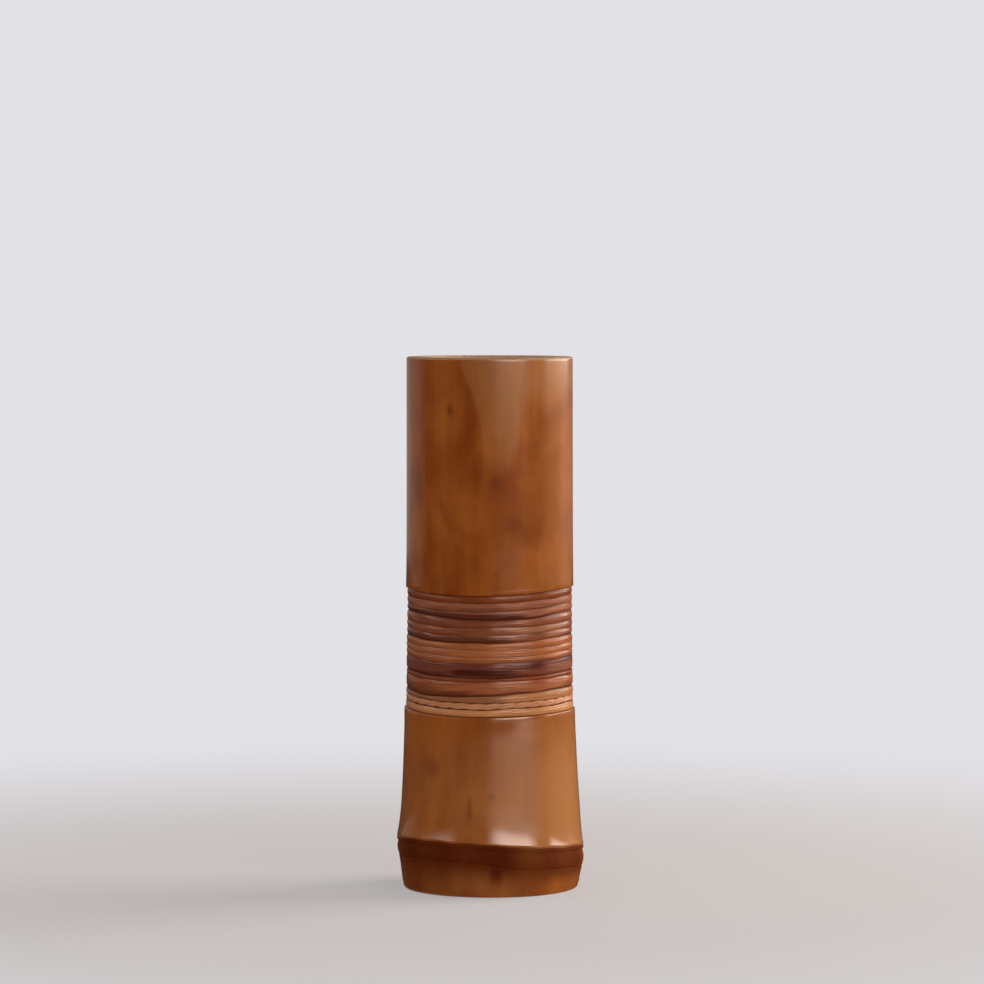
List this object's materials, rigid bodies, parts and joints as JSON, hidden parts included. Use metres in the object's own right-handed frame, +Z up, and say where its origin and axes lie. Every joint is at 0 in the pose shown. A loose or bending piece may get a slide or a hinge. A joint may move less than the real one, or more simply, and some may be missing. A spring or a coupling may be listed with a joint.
{
  "type": "bamboo vase with rattan winding",
  "caption": "Upright bamboo culm vase with an open mouth, a node ledge above its foot and a rattan-wound band at mid height; stands flat and holds slim stems.",
  "frame": {"origin": "centre of the ring that the vase stands on, at the floor", "axes": "+Z up along the culm, out of the mouth; -Y is the front, and the rattan's joins are at the back, on +Y"},
  "size_m": [0.0568, 0.0568, 0.16],
  "materials": {
    "lacquered_bamboo": "brown stained bamboo under clear lacquer, satin to glossy",
    "rattan_lower_edge": "split rattan peel, satin",
    "rattan_twist": "split rattan peel, satin",
    "rattan_straw": "split rattan peel, satin",
    "rattan_tan": "split rattan peel, satin",
    "rattan_thread": "split rattan peel, satin",
    "rattan_wine": "split rattan peel, satin",
    "rattan_amber": "split rattan peel, satin",
    "rattan_russet": "split rattan peel, satin",
    "rattan_brown": "split rattan peel, satin",
    "rattan_upper_edge": "split rattan peel, satin"
  },
  "bodies": {
    "root": {"culm": "lacquered_bamboo", "rattan_lower_edge": "rattan_lower_edge", "rattan_twist": "rattan_twist", "rattan_straw": "rattan_straw", "rattan_tan": "rattan_tan", "rattan_thread": "rattan_thread", "rattan_wine": "rattan_wine", "rattan_amber": "rattan_amber", "rattan_russet": "rattan_russet", "rattan_brown": "rattan_brown", "rattan_upper_edge": "rattan_upper_edge"}
  },
  "joints": []
}
